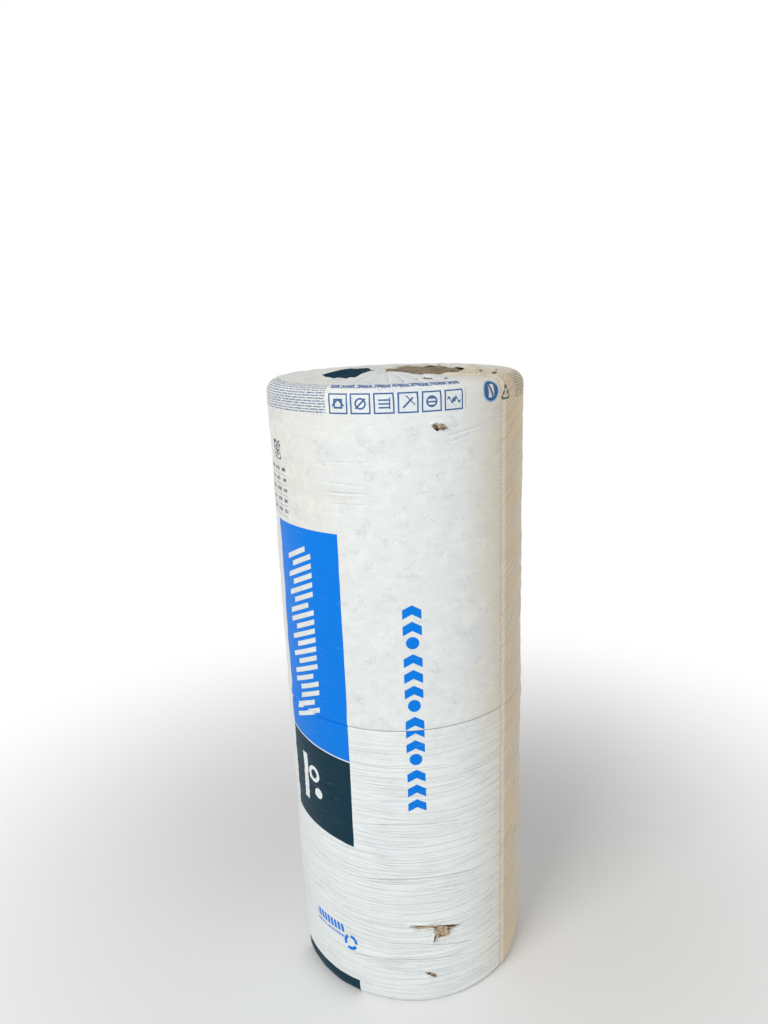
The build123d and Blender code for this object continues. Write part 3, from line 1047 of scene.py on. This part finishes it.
class INSULATION_OT_film_wrap(bpy.types.Operator):
    """Wrap the roll in one sheet of printed film"""

    bl_idname = "insulation.film_wrap"
    bl_label = "Wrap the film"

    def execute(self, context):
        film = context.scene.insulation_film
        width, half = film_width(film), film_half(film)
        deselect()
        bpy.ops.mesh.primitive_grid_add(
            x_subdivisions=film.columns, y_subdivisions=film.rows, size=1, location=(width / 2, half, 0)
        )
        piece = context.active_object
        piece.name = piece.data.name = "film_wrap"
        piece.scale = (width, 2 * half, 1)
        bpy.ops.object.transform_apply(location=True, rotation=True, scale=True)
        piece.data.uv_layers[0].name = "flat_film"

        # More columns over the ends, and more rows in the crease
        ends = side_rise(film, 1) + film_hidden() - 0.008
        level, middle = straight_edges(piece, 1)
        subdivide(piece, "EDGE", level & (np.abs(middle - half) > ends), 1)
        level, middle = straight_edges(piece, 1)
        subdivide(piece, "EDGE", level & (middle > 2 * half - 0.040), 1)
        upright, middle = straight_edges(piece, 0)
        subdivide(piece, "EDGE", upright & (np.abs(middle - half) < 0.016), 2)
        for outline in tear_outlines(film):
            tear_film(piece, outline)
        set_corners(piece, FilmSheet(film, corners(piece)[:, :2]).wrapped())
        deselect()
        piece.select_set(True)
        bpy.ops.object.shade_smooth()
        piece.data.materials.append(film_finish(film))
        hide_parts("film_sleeve")
        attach(piece, "root")
        2 * half
        return {"FINISHED"}


def turn_pitch(wool):
    """Thickness of one turn, from the mat's length."""
    limit = WOOL_RADIUS - wool.clearance
    return pi * (limit**2 - wool.eye_radius**2) / wool.mat_length


def mat_depth(row):
    """Distance from the joint, for a share of the mat's rows."""
    return np.interp(row, np.linspace(0, 1, len(MAT_ROWS)), MAT_ROWS)


def wool_limit(depth, facing):
    """How far out the wool may reach, at a depth from the joint, to stay inside the film."""
    film, wool = bpy.context.scene.insulation_film, bpy.context.scene.insulation_wool
    beyond = np.maximum(depth - side_rise(film, facing), 0)
    before = np.maximum(film.lip_radius + CREASE_HALF - depth, 0)
    limit = WOOL_RADIUS - wool.clearance
    for bend, room, past in (
        (shoulder_radius(film, facing), 0.0024, beyond),
        (film.lip_radius, 0.0014, before),
    ):
        reach = np.sqrt(np.maximum((bend - room) ** 2 - past**2, 0))
        limit = np.minimum(limit, SLEEVE_RADIUS - bend + reach)
    return np.where(depth < MAT_ROWS[1], SLEEVE_RADIUS - film.tuck_depth - 0.001, limit)


def wool_swell(radius, angle):
    """How far the bare wool of the top end swells up in the mouth, most at the back."""
    swell = bpy.context.scene.insulation_wool.dome * (1 - 3.5 * radius * np.cos(angle))
    return swell * (1 - soft_step(radius - round_mouth(MOUTH_EDGE, angle), -0.012, 0.030))


def wind_mat(piece, wool, end_height, facing):
    """Winds a mat round the eye: X counts turns, Y runs from inside to outside, and Z to the bare end."""
    turns, share, row = corners(piece).T
    depth, pitch, cycle = mat_depth(row), turn_pitch(wool), turns / 8
    inner = wool.eye_radius + pitch * turns
    outer = np.minimum(inner + pitch - wool.turn_gap, WOOL_RADIUS - wool.clearance)
    inner = inner + 0.6 * pitch * (1 - soft_step(turns, -0.02, 0.22))  # the mat's tip tapers at the eye

    # The bare end: each turn is crowned, and stands a little higher or lower than the next
    bare = soft_step(depth, 0.57, MAT_ROWS[-1])
    crowned = wool.crown * np.abs(2 * share - 1) ** 3
    uneven = 0.0022 * ripple(51 + facing, cycle, share * 0, 60, 1.0)
    tufts = ripples(cycle, share * 0.036, (53 + facing, 0.0030, 560, 0.007), (55, 0.0022, 1500, 0.0035))
    radius = inner + (outer - inner) * share + 0.0014 * ripple(57, cycle, depth, 300, 0.04) * (1 - share)
    turn = -facing * turns * 2 * pi + 0.6
    dome = wool_swell(radius, turn) * (facing > 0)
    end = end_height - facing * bare * (crowned + 0.0012 - uneven - tufts - dome)
    radius = np.minimum(radius, wool_limit(depth, facing) - 0.0004 * (1 - share))
    height = end - facing * (MAT_ROWS[-1] - depth)
    set_corners(piece, np.stack([radius * np.sin(turn), -radius * np.cos(turn), height], axis=1))


def lay_out_mat(piece, wool):
    """Gives the mat its flat coordinates: along the winding, and across the mat's thickness and width."""
    pitch = turn_pitch(wool)
    turns, share, row = corners(piece).T
    along = pi * ((wool.eye_radius + pitch * turns) ** 2 - wool.eye_radius**2) / pitch
    flat = np.stack([along, share * pitch + mat_depth(row)], axis=1)
    flat_mat = piece.data.uv_layers[0]
    flat_mat.name = "flat_mat"
    flat_mat.data.foreach_set("uv", flat[read(piece.data.loops, "vertex_index", 1, int)[:, 0]].ravel())


def wool_mat(context, name, node, end_height, facing):
    """One wound mat, in place of a CAD node."""
    wool = context.scene.insulation_wool
    turns = (WOOL_RADIUS - wool.clearance - wool.eye_radius) / turn_pitch(wool) - 0.9
    deselect()
    bpy.ops.mesh.primitive_cube_add(size=1, location=(turns / 2, 0.5, 0.5), scale=(turns, 1, 1))
    piece = context.active_object
    piece.name = piece.data.name = name
    bpy.ops.object.transform_apply(location=True, rotation=True, scale=True)
    for axis, steps in enumerate((MAT_STEPS, TURN_STEPS, len(MAT_ROWS) - 1)):
        start, stop = edge_ends(piece)
        subdivide(piece, "EDGE", np.abs(start - stop).argmax(axis=1) == axis, steps - 1)

    # A finer mesh on the turns that show in the mouth
    centres = face_centres(piece)
    shown = (centres[:, 2] > 1 - 1e-5) & (centres[:, 0] < BARE_TURNS)
    subdivide(piece, "FACE", shown, 2 if facing > 0 else 1)
    lay_out_mat(piece, wool)
    wind_mat(piece, wool, end_height, facing)
    bpy.ops.object.mode_set(mode="EDIT")
    bpy.ops.mesh.select_all(action="SELECT")
    bpy.ops.mesh.normals_make_consistent(inside=False)
    bpy.ops.object.mode_set(mode="OBJECT")
    deselect()
    piece.select_set(True)
    bpy.ops.object.shade_smooth_by_angle(angle=radians(50))
    finish = bpy.data.materials.get("wound_wool")
    piece.data.materials.append(finish or wool_finish("wound_wool", 0.15, (0.56, 0.45, 0.30), 0.005))
    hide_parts(node)
    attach(piece, "root")


class INSULATION_OT_wool_mats(bpy.types.Operator):
    """Wind the upper and the lower glass wool mat"""

    bl_idname = "insulation.wool_mats"
    bl_label = "Wind the wool mats"

    def execute(self, context):
        wool_mat(context, "wool_mat_upper", "wool_roll_upper", UPPER_HIGH.z, 1)
        wool_mat(context, "wool_mat_lower", "wool_roll_lower", LOWER_LOW.z, -1)
        return {"FINISHED"}


def tuft(index, place, out, half_sizes, finish):
    """One torn lump of wool: its half sizes run sideways, up and outwards, in millimetres."""
    bpy.ops.mesh.primitive_ico_sphere_add(subdivisions=5 if max(half_sizes) > 5 else 4, radius=1)
    piece = bpy.context.active_object
    places, start = corners(piece), Vector((index * 7.3, 0, 0))
    lumps = np.array([noise.fractal(Vector(corner) * 2.0 + start, 0.6, 2.2, 6) for corner in places])
    places = places * (1 + 0.75 * lumps[:, None]) * np.array(half_sizes) * MM
    side = UPWARD.cross(out) if abs(out.z) < 0.9 else Vector((1, 0, 0))
    axes = np.array([side.normalized(), out.cross(side).normalized(), out])
    set_corners(piece, places @ axes + np.array(place))
    piece.data.materials.append(finish)
    return piece


def wisps(paths, name, thickness):
    """Loose fibres, each along its own points."""
    fibres = []
    for path in paths:
        bpy.ops.curve.primitive_nurbs_path_add()
        fibres.append(bpy.context.active_object)
        for point, place in zip(fibres[-1].data.splines[0].points, path):
            point.co = (*place, 1)
    piece = join(fibres, name)
    piece.data.bevel_depth = thickness / 2
    piece.data.bevel_resolution = 0
    piece.data.resolution_u = 3
    bpy.ops.object.convert(target="MESH")
    piece = bpy.context.active_object
    piece.name = piece.data.name = name
    return piece


def side_place(x, height, out):
    """A place near the film's side, from millimetres round, up and outwards, and the direction outwards."""
    turn = x * MM / SLEEVE_RADIUS
    direction = Vector((np.sin(turn), -np.cos(turn), 0))
    return direction * (SLEEVE_RADIUS + out * MM) + UPWARD * height * MM, direction


def side_fibres(draw):
    """Paths of the fibres on the torn tufts, seven on each."""
    for x, height, out, wide, tall, deep, _ in TEAR_TUFTS:
        for _ in range(7):
            middle = np.array([x, height]) + draw.uniform(-1, 1, 2) * (wide, tall)
            run = draw.uniform(0.4, 0.9) * max(wide, tall) * np.array([1, draw.uniform(-0.8, 0.8)])
            path = []
            for share, bow in zip(FIBRE_POINTS, draw.uniform(-1.6, 1.6, (5, 2))):
                off = max(out + deep * 0.8 + 1.5 * (1 - share**2), 0.6)
                path.append(side_place(*(middle + run * share + bow), off)[0])
            yield path


def top_fibres(draw, count):
    """Paths of the fibres on the bare wool in the top mouth."""
    farthest = 0.130
    while count:
        reach, turn = farthest * draw.uniform(0.03, 1) ** 0.6, draw.uniform(0, 2 * pi)
        heading = turn + draw.normal(0, 0.7)
        run = np.array([np.cos(heading), np.sin(heading)]) * draw.uniform(0.004, 0.014)
        if reach > round_mouth(MOUTH_EDGE, turn) - 0.012:
            continue
        middle = np.array([reach * np.sin(turn), -reach * np.cos(turn)])
        path = []
        for share in FIBRE_POINTS:
            x, y = middle + run * share + draw.normal(0, 0.0012, 2)
            rise = wool_swell(np.hypot(x, y), np.arctan2(x, -y)) - 0.0005
            path.append((x, y, UPPER_HIGH.z + rise + draw.uniform(0, 0.0035) * (1 - 0.6 * abs(share))))
        count -= 1
        yield path


class INSULATION_OT_loose_wool(bpy.types.Operator):
    """Add the torn tufts in the film's holes, the crumbs on the top end and the loose fibres"""

    bl_idname = "insulation.loose_wool"
    bl_label = "Add the loose wool"

    def execute(self, context):
        # Torn tufts and loose fibres: paler torn wool, lightened further as painted light where they catch
        # the lamp
        light = wool_finish("torn_wool_painted_light", 0.90, (0.98, 0.79, 0.54), 0.003)
        # Dark wool: painted shade standing for the dark inside of the holes
        dark = wool_finish("torn_wool_painted_shade", 0.62, (0.050, 0.036, 0.021), 0.005)
        tufts = []
        for x, height, out, *half_sizes, shaded in TEAR_TUFTS:
            place = side_place(x, height, out)
            tufts.append(tuft(len(tufts), *place, half_sizes, dark if shaded else light))
        context.view_layer.update()
        for x, y, *half_sizes in TOP_CRUMBS:
            start = Vector((x * MM, y * MM, 2))
            hit, place, _, _ = bpy.data.objects["film_wrap"].ray_cast(start, -UPWARD)
            if not hit:
                raise RuntimeError("a crumb misses the film")
            place = place + UPWARD * 0.4 * half_sizes[2] * MM
            tufts.append(tuft(len(tufts), place, UPWARD, half_sizes, bpy.data.materials["wound_wool"]))
        piece = join(tufts, "wool_tufts")
        bpy.ops.object.transform_apply(location=True, rotation=True, scale=True)
        bpy.ops.object.shade_smooth()
        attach(piece, "root")

        draw, count = np.random.default_rng(71), 300
        paths = list(side_fibres(draw))
        paths += top_fibres(draw, count - len(paths))
        piece = wisps(paths, "wool_wisps", thickness=0.45 * MM)
        piece.data.materials.clear()
        piece.data.materials.append(light)
        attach(piece, "root")
        return {"FINISHED"}


def soft_lamp(name, place, target, size, power):
    bpy.ops.object.light_add(type="AREA", location=place)
    lamp = bpy.context.active_object
    lamp.name = name
    lamp.data.shape = "SQUARE"
    lamp.data.size = size
    lamp.data.energy = power
    lamp.rotation_euler = (Vector(target) - Vector(place)).to_track_quat("-Z", "Y").to_euler()


class INSULATION_OT_stage(bpy.types.Operator):
    """Set up the camera, the lamps and the floor"""

    bl_idname = "insulation.stage"
    bl_label = "Set the stage"

    def execute(self, context):
        stage = context.scene.insulation_stage
        deselect()
        bpy.ops.mesh.primitive_plane_add(size=80)
        floor = context.active_object
        floor.name = floor.data.name = "floor"
        floor.data.materials.append(floor_finish(stage))
        soft_lamp("key_lamp", (-1.7, -2.2, 2.7), (0, 0, 0.6), 1.6, stage.key_power)
        soft_lamp("fill_lamp", (2.2, -1.9, 1.5), (0, 0, 0.6), 2.0, stage.fill_power)
        context.scene.world = sky_finish(stage)

        bpy.ops.object.camera_add()
        camera = context.active_object
        camera.name = "photo_camera"
        turned = Matrix((CAMERA_RIGHT, CAMERA_UP, CAMERA_RIGHT.cross(CAMERA_UP))).transposed().to_4x4()
        camera.matrix_world = Matrix.Translation(CAMERA_PLACE) @ turned
        camera.data.sensor_width = SENSOR_WIDTH
        camera.data.lens = CAMERA_LENS
        camera.data.clip_end = 50
        context.scene.camera = camera
        context.scene.view_settings.view_transform = "Standard"
        return {"FINISHED"}


class INSULATION_PT_panel(bpy.types.Panel):
    """Lists the steps that dress the roll"""

    bl_idname = "INSULATION_PT_panel"
    bl_label = "Insulation Roll"
    bl_space_type = "VIEW_3D"
    bl_region_type = "UI"
    bl_category = "Insulation Roll"

    def draw(self, context):
        for step in STEPS:
            self.layout.operator(step.bl_idname)
        for group, settings in SETTINGS.items():
            self.layout.label(text=settings.__doc__)
            for name in settings.__annotations__:
                self.layout.prop(getattr(context.scene, group), name)


SETTINGS = {
    "insulation_film": FilmSettings,
    "insulation_wool": WoolSettings,
    "insulation_stage": StageSettings,
}
STEPS = (
    INSULATION_OT_stage,
    INSULATION_OT_wool_mats,
    INSULATION_OT_film_wrap,
    INSULATION_OT_loose_wool,
)


def register():
    for kind in (*SETTINGS.values(), *STEPS, INSULATION_PT_panel):
        bpy.utils.register_class(kind)
    for group, settings in SETTINGS.items():
        setattr(bpy.types.Scene, group, bpy.props.PointerProperty(type=settings))


def unregister():
    for group in SETTINGS:
        delattr(bpy.types.Scene, group)
    for kind in (INSULATION_PT_panel, *reversed(STEPS), *reversed(SETTINGS.values())):
        bpy.utils.unregister_class(kind)


def main():
    register()
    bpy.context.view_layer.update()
    bpy.ops.insulation.stage()
    bpy.ops.insulation.wool_mats()
    bpy.ops.insulation.film_wrap()
    bpy.ops.insulation.loose_wool()


if __name__ == "__main__":
    main()
